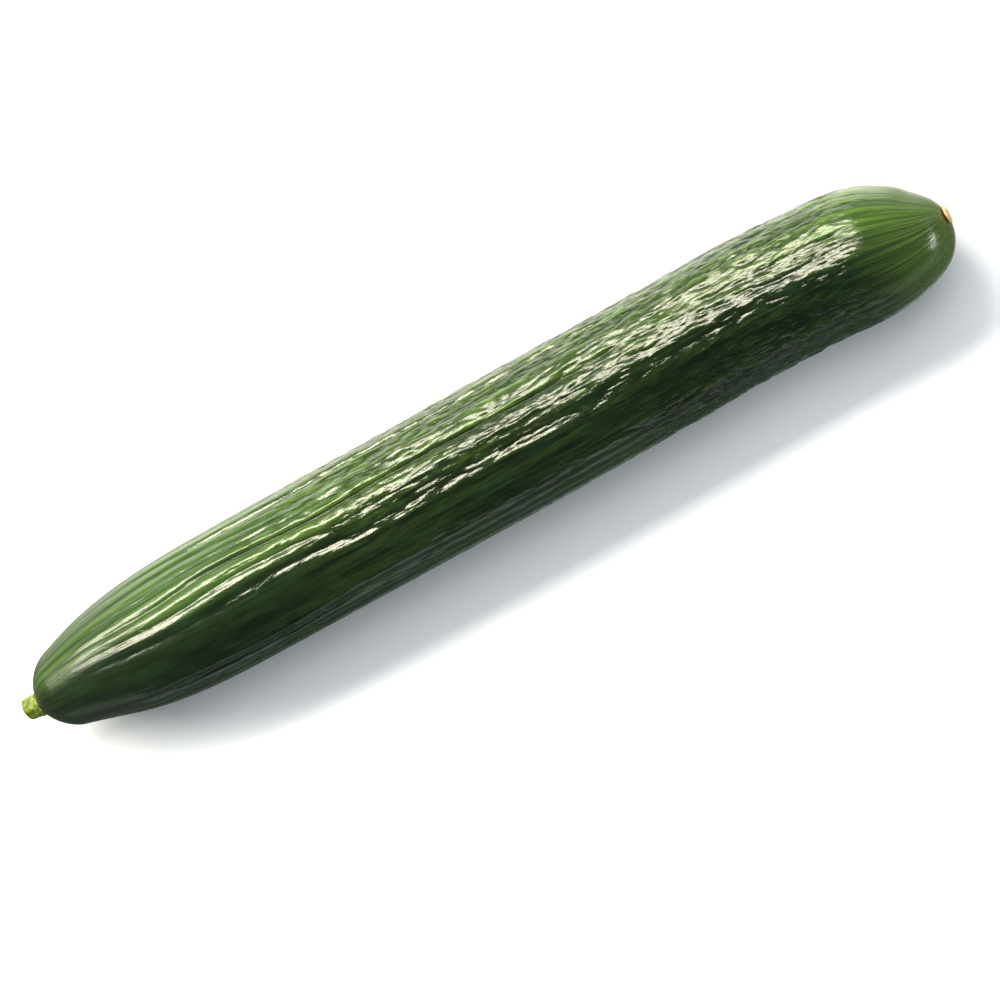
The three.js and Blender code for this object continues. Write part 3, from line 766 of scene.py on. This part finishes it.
def stem_skin():
    """Fresh cucumber stem: yellow-green in patches, with a dry tan cut and pale specks."""
    material = bpy.data.materials.new("Fresh cut stem")
    material.use_nodes = True
    tree = material.node_tree
    shader = tree.nodes["Principled BSDF"]
    place = add(tree, "ShaderNodeTexCoord").outputs["Object"]
    cut = add(tree, "ShaderNodeAttribute", attribute_name="cut").outputs["Fac"]
    root = add(tree, "ShaderNodeAttribute", attribute_name="root").outputs["Fac"]
    patterns = {}
    for name, (size, detail, low, high) in STEM_PATTERNS.items():
        scaled = {0: place, "Scale": 1 / (size * MM)}
        scaled = add(tree, "ShaderNodeVectorMath", scaled, operation="SCALE").outputs[0]
        cloud = {"Vector": scaled, "Scale": 1.0, "Detail": detail}
        cloud = add(tree, "ShaderNodeTexNoise", cloud).outputs[0]
        shown = {"Value": cloud, "From Min": low, "From Max": high}
        shown = add(tree, "ShaderNodeMapRange", shown, interpolation_type="SMOOTHSTEP")
        patterns[name] = shown.outputs[0]

    green, fresh_green = (linear(code) for code in STEM_GREENS)
    colour = {0: patterns["greens"], 6: green, 7: fresh_green}
    colour = add(tree, "ShaderNodeMix", colour, data_type="RGBA").outputs[2]
    specks = add(tree, "ShaderNodeMath", {0: patterns["specks"], 1: root}, operation="MULTIPLY").outputs[0]
    colour = {0: specks, 6: colour, 7: linear(STEM_SPECKS)}
    colour = add(tree, "ShaderNodeMix", colour, data_type="RGBA").outputs[2]
    tan, pale_tan = (linear(code) for code in STEM_TANS)
    dry = {0: patterns["tans"], 6: tan, 7: pale_tan}
    dry = add(tree, "ShaderNodeMix", dry, data_type="RGBA").outputs[2]
    colour = add(tree, "ShaderNodeMix", {0: cut, 6: colour, 7: dry}, data_type="RGBA").outputs[2]
    grain = {"Height": patterns["grain"], "Distance": STEM_GRAIN * MM}
    grain = add(tree, "ShaderNodeBump", grain).outputs[0]
    for name, value in (("Base Color", colour), ("Normal", grain)):
        tree.links.new(value, shader.inputs[name])
    shader.inputs["Roughness"].default_value = STEM_ROUGHNESS
    shader.inputs["IOR"].default_value = STEM_IOR
    shader.inputs["Subsurface Weight"].default_value = STEM_GLOW
    shader.inputs["Subsurface Scale"].default_value = STEM_GLOW_REACH * MM
    return material


def stalk_ring(reach, radius, sink):
    """One ring of the stub: its ridges, fine furrows between them, and small bumps."""
    ring = []
    for k in range(STALK_TURNS):
        turn = 2 * math.pi * k / STALK_TURNS
        ridged = radius * (1 + STALK_RIDGE_SHARE * math.cos(STALK_RIDGES * turn))
        spot = Vector((
            reach * STALK_BUMP_STRETCH,
            STALK_BUMPS_ROUND * math.sin(turn),
            STALK_BUMPS_ROUND * math.cos(turn),
        ))
        bumps = STALK_BUMP * noise.noise(spot) + STALK_FINE_BUMP * noise.noise(spot * STALK_FINENESS)
        ridged += min(1, radius / STALK_RADIUS) * bumps
        point = STALK_LEAN * (reach - sink)
        ring.append(point + Vector((0, ridged * math.sin(turn), ridged * math.cos(turn))))
    return ring


rings = []
marks = {"cut": [], "root": []}
for k in range(STALK_RINGS + 1):
    share = k / STALK_RINGS
    reach = (STALK_LENGTH - STALK_RIM) * share
    flare = STALK_FLARE * (1 - smooth_step(reach / STALK_LENGTH, (0, STALK_FLARE_SHARE)))
    rings.append(stalk_ring(reach, STALK_RADIUS + flare, 0))
    marks["cut"].append(0.0)
    marks["root"].append(float(1 - smooth_step(share, STALK_SPECKS_FADE)))
for k in range(1, CUT_RINGS + 1):
    turn = math.pi / 2 * min(1, k / CUT_RIM_RINGS)
    inward = max(0, k - CUT_RIM_RINGS) / (CUT_RINGS - CUT_RIM_RINGS + 1)
    radius = (STALK_RADIUS - STALK_RIM * (1 - math.cos(turn))) * (1 - inward)
    reach = STALK_LENGTH - STALK_RIM * (1 - math.sin(turn))
    sink = CUT_SINK * smooth_step(inward, CUT_SINK_SPAN) - CUT_RISE * smooth_step(inward, CUT_RISE_SPAN)
    rings.append(stalk_ring(reach, radius, sink))
    marks["cut"].append(float(smooth_step(k, CUT_DRY_RINGS)))
    marks["root"].append(0.0)
stalk = lofted("cut_stalk", rings, marks, stem_skin())
put_over(stalk, "stalk")
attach(stalk, "root")
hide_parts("stalk")

# The blossom scar
# The corky ring that the flower left when it dried and fell: a low cream rim with five soft lobes
# round a darker, orange hollow, grown to the very tip of the fruit.
SCAR_OUTLINE = ((0, 2.9), (0.45, 3.1), (0.85, 2.7), (1, 2.05), (0.8, 1.2), (0.5, 0.7), (0.42, 0.12))
SCAR_LOBES = 5
SCAR_LOBE_SHARE = 0.05
SCAR_OVAL_SHARE = 0.06
SCAR_BUMP = 0.10
SCAR_BUMP_FINENESS = 1.3
SCAR_FINE_BUMP = 0.05
SCAR_FINENESS = 4.1
SCAR_BUMP_LIFT = 0.6
SCAR_SMOOTH_FOOT = (0, 0.3)
SCAR_HOLLOW = (0.7, 2.0)
SCAR_HOLLOW_HEIGHT = 0.4
SCAR_TURNS = 150
SCAR_STEPS = 9
CORK_CREAMS = ("#a87a52", "#d9b78f")
CORK_ORANGES = ("#8e4f2a", "#c07a4a")
CORK_GRAIN_SIZE = 0.6
CORK_GRAIN_DETAIL = 4.0
CORK_GRAIN_SPAN = (0.3, 0.7)
CORK_GRAIN_HEIGHT = 0.15
CORK_ROUGHNESS = 0.75
CORK_IOR = 1.4


def cork():
    """Dry plant cork: cream on the rim, peach to orange in the hollow, cracked and matt."""
    material = bpy.data.materials.new("Dry cork of the flower scar")
    material.use_nodes = True
    tree = material.node_tree
    shader = tree.nodes["Principled BSDF"]
    place = add(tree, "ShaderNodeTexCoord").outputs["Object"]
    inside = add(tree, "ShaderNodeAttribute", attribute_name="inside").outputs["Fac"]
    scaled = {0: place, "Scale": 1 / (CORK_GRAIN_SIZE * MM)}
    scaled = add(tree, "ShaderNodeVectorMath", scaled, operation="SCALE").outputs[0]
    grain = {"Vector": scaled, "Scale": 1.0, "Detail": CORK_GRAIN_DETAIL}
    grain = add(tree, "ShaderNodeTexNoise", grain).outputs[0]
    spread = {"Value": grain, "From Min": CORK_GRAIN_SPAN[0], "From Max": CORK_GRAIN_SPAN[1]}
    spread = add(tree, "ShaderNodeMapRange", spread).outputs[0]
    tones = []
    for dark, painted_light in (CORK_CREAMS, CORK_ORANGES):
        tone = {0: spread, 6: linear(dark), 7: linear(painted_light)}
        tones.append(add(tree, "ShaderNodeMix", tone, data_type="RGBA").outputs[2])
    colour = {0: inside, 6: tones[0], 7: tones[1]}
    colour = add(tree, "ShaderNodeMix", colour, data_type="RGBA").outputs[2]
    bump = add(tree, "ShaderNodeBump", {"Height": grain, "Distance": CORK_GRAIN_HEIGHT * MM}).outputs[0]
    for name, value in (("Base Color", colour), ("Normal", bump)):
        tree.links.new(value, shader.inputs[name])
    shader.inputs["Roughness"].default_value = CORK_ROUGHNESS
    shader.inputs["IOR"].default_value = CORK_IOR
    return material


rings = []
inside = []
for (height, radius), (next_height, next_radius) in zip(SCAR_OUTLINE, SCAR_OUTLINE[1:]):
    for k in range(SCAR_STEPS):
        share = k / SCAR_STEPS
        at_height = height + (next_height - height) * share
        at_radius = radius + (next_radius - radius) * share
        ring = []
        for j in range(SCAR_TURNS):
            turn = 2 * math.pi * j / SCAR_TURNS
            lobed = 1 + SCAR_LOBE_SHARE * math.cos(SCAR_LOBES * turn) + SCAR_OVAL_SHARE * math.cos(2 * turn)
            spot = Vector((at_height, at_radius * math.sin(turn), at_radius * math.cos(turn)))
            bumps = SCAR_BUMP * noise.noise(spot * SCAR_BUMP_FINENESS)
            bumps += SCAR_FINE_BUMP * noise.noise(spot * SCAR_FINENESS)
            bumps *= smooth_step(at_height, SCAR_SMOOTH_FOOT)
            out = at_radius * lobed + bumps
            lifted = at_height + bumps * SCAR_BUMP_LIFT
            ring.append(Vector((lifted, out * math.sin(turn), out * math.cos(turn))))
        rings.append(ring)
        hollow = float(1 - smooth_step(at_radius, SCAR_HOLLOW))
        inside.append(hollow if at_height > SCAR_HOLLOW_HEIGHT else 0.0)
scar = lofted("blossom_scar_cork", rings, {"inside": inside}, cork())
put_over(scar, "blossom_scar")
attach(scar, "root")
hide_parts("blossom_scar")

# The floor, the light and the camera
# A plain white sheet under a softbox, an overhead, a strip light and a small lamp, and a long lens
# that looks down from above the flower end. The sheet and the overhead are kept out of reflections:
# the world's soft gradient stands in for them.
FLOOR_REACH = 8
PAPER = "#e2e6f0"
PAPER_ROUGHNESS = 0.9
# Light scattered in the studio, which the paper gives off itself.
PAPER_GLOW = "#f1f8ff"
PAPER_GLOW_STRENGTH = 0.12
floor_mesh = bpy.data.meshes.new("floor")
floor_corners = [(x * FLOOR_REACH, y * FLOOR_REACH, 0) for x, y in ((-1, -1), (1, -1), (1, 1), (-1, 1))]
floor_mesh.from_pydata(floor_corners, [], [(0, 1, 2, 3)])
floor = bpy.data.objects.new("floor", floor_mesh)
bpy.context.scene.collection.objects.link(floor)
paper = bpy.data.materials.new("Matt white paper")
paper.use_nodes = True
paper_shader = paper.node_tree.nodes["Principled BSDF"]
paper_shader.inputs["Base Color"].default_value = linear(PAPER)
paper_shader.inputs["Roughness"].default_value = PAPER_ROUGHNESS
paper_shader.inputs["Emission Color"].default_value = linear(PAPER_GLOW)
paper_shader.inputs["Emission Strength"].default_value = PAPER_GLOW_STRENGTH
floor_mesh.materials.append(paper)
floor.visible_glossy = False

# Each light's place or way from the origin, size and distance in metres, power in watts, and tint.
KEY_PLACE = Vector((-0.58, 0.72, 0.82))
KEY_TURN = math.radians(3)
KEY_SIZE = (1.7, 0.34)
KEY_POWER = 50
KEY_TINT = (1.0, 0.96, 0.76)
TOP_WAY = Vector((0.32, 0.36, 1.0)).normalized()
TOP_DISTANCE = 1.5
TOP_SIZE = (1.1, 1.1)
TOP_POWER = 15
TOP_TINT = (1.0, 0.99, 0.97)
STRIP_WAY = Vector((-0.25, 2.2, 1.0)).normalized()
STRIP_DISTANCE = 2.4
STRIP_SIZE = (2.0, 0.4)
STRIP_POWER = 8
STRIP_TINT = (1.0, 0.97, 0.88)
LAMP_WAY = Vector((0.90, -0.34, 0.23)).normalized()
LAMP_DISTANCE = 1.2
LAMP_SIZE = (0.5, 0.14)
LAMP_POWER = 4
LAMP_TINT = (1.0, 0.99, 0.95)


def area_light(name, place, way, size, power, tint, turn=0.0):
    """A flat light at a place, with its back to a way, turned about its own middle."""
    data = bpy.data.lights.new(name, "AREA")
    data.shape = "RECTANGLE"
    data.size, data.size_y = size
    data.energy = power
    data.color = tint
    light = bpy.data.objects.new(name, data)
    bpy.context.scene.collection.objects.link(light)
    light.location = place
    light.rotation_mode = "QUATERNION"
    light.rotation_quaternion = way.to_track_quat("Z", "Y") @ Quaternion((0, 0, 1), turn)
    light.visible_camera = False
    return light


# The softbox runs along the fruit, so it is aimed across it.
key_way = Vector((0, KEY_PLACE.y, KEY_PLACE.z)).normalized()
area_light("softbox", KEY_PLACE, key_way, KEY_SIZE, KEY_POWER, KEY_TINT, KEY_TURN)
overhead = area_light("overhead", TOP_WAY * TOP_DISTANCE, TOP_WAY, TOP_SIZE, TOP_POWER, TOP_TINT)
overhead.visible_glossy = False
area_light("strip_light", STRIP_WAY * STRIP_DISTANCE, STRIP_WAY, STRIP_SIZE, STRIP_POWER, STRIP_TINT)
area_light("small_lamp", LAMP_WAY * LAMP_DISTANCE, LAMP_WAY, LAMP_SIZE, LAMP_POWER, LAMP_TINT)

# Below the horizon the world stands in for the lit sheet, which is brightest towards +Y and falls
# off towards the fruit's ends. Above it the world is dim. A pale edge lies along it on the -Y side.
SHEET_NARROWING = -1.35
SHEET_SPAN = (-0.7, 0.7)
SHEET_LEVELS = (0.17, 2.8)
HORIZON_SPAN = (-0.08, -0.30)
SKY_LEVEL = 0.12
EDGE_BELOW = 0.06
EDGE_SPAN = (0.19, 0.07)
EDGE_SIDE = (-0.5, -0.9)
EDGE_LEVEL = 1.15
TONE_SPAN = (-0.5, 0.5)
TONES = ((0.84, 1.0, 0.84, 1), (1.0, 0.98, 0.87, 1))
world = bpy.data.worlds.new("studio")
bpy.context.scene.world = world
world.use_nodes = True
studio = world.node_tree
way = {0: add(studio, "ShaderNodeTexCoord").outputs["Generated"]}
way = add(studio, "ShaderNodeSeparateXYZ", way).outputs
lengthwise = add(studio, "ShaderNodeMath", {0: way[0]}, operation="ABSOLUTE").outputs[0]
bright_way = {0: lengthwise, 1: SHEET_NARROWING, 2: way[1]}
bright_way = add(studio, "ShaderNodeMath", bright_way, operation="MULTIPLY_ADD").outputs[0]
tilt = add(studio, "ShaderNodeMath", {0: way[2], 1: EDGE_BELOW}, operation="ADD").outputs[0]
tilt = add(studio, "ShaderNodeMath", {0: tilt}, operation="ABSOLUTE").outputs[0]
sheet, below, edge, side, warm = (
    add(
        studio,
        "ShaderNodeMapRange",
        {"Value": value, "From Min": span[0], "From Max": span[1], "To Min": levels[0], "To Max": levels[1]},
        interpolation_type="SMOOTHSTEP",
    ).outputs[0]
    for value, span, levels in (
        (bright_way, SHEET_SPAN, SHEET_LEVELS),
        (way[2], HORIZON_SPAN, (0, 1)),
        (tilt, EDGE_SPAN, (0, 1)),
        (way[1], EDGE_SIDE, (0, EDGE_LEVEL)),
        (way[1], TONE_SPAN, (0, 1)),
    )
)
level = add(studio, "ShaderNodeMix", {0: below, 2: SKY_LEVEL, 3: sheet}, data_type="FLOAT").outputs[0]
edge = add(studio, "ShaderNodeMath", {0: edge, 1: side}, operation="MULTIPLY").outputs[0]
level = add(studio, "ShaderNodeMath", {0: level, 1: edge}, operation="ADD").outputs[0]
tone = add(studio, "ShaderNodeMix", {0: warm, 6: TONES[0], 7: TONES[1]}, data_type="RGBA").outputs[2]
backdrop = studio.nodes["Background"]
studio.links.new(tone, backdrop.inputs["Color"])
studio.links.new(level, backdrop.inputs["Strength"])

CAMERA_HEIGHT = math.radians(78)
CAMERA_ROLL = math.radians(28.53)
CAMERA_AIM = Vector((2.6, -13.5, 21)) * MM
CAMERA_DISTANCE = 1136 * MM
CAMERA_LENS = 135
CAMERA_SENSOR = 36
lens = bpy.data.cameras.new("camera")
lens.lens = CAMERA_LENS
lens.sensor_width = CAMERA_SENSOR
camera = bpy.data.objects.new("camera", lens)
bpy.context.scene.collection.objects.link(camera)
back = Vector((math.cos(CAMERA_HEIGHT), 0, math.sin(CAMERA_HEIGHT)))
fore = Vector((math.sin(CAMERA_HEIGHT), 0, -math.cos(CAMERA_HEIGHT)))
aside = Vector((0, 1, 0))
right = fore * math.cos(CAMERA_ROLL) - aside * math.sin(CAMERA_ROLL)
above = fore * math.sin(CAMERA_ROLL) + aside * math.cos(CAMERA_ROLL)
turned = Matrix((right, above, back)).transposed().to_4x4()
camera.matrix_world = Matrix.Translation(CAMERA_AIM + back * CAMERA_DISTANCE) @ turned
bpy.context.scene.camera = camera
bpy.context.scene.view_settings.view_transform = "Standard"
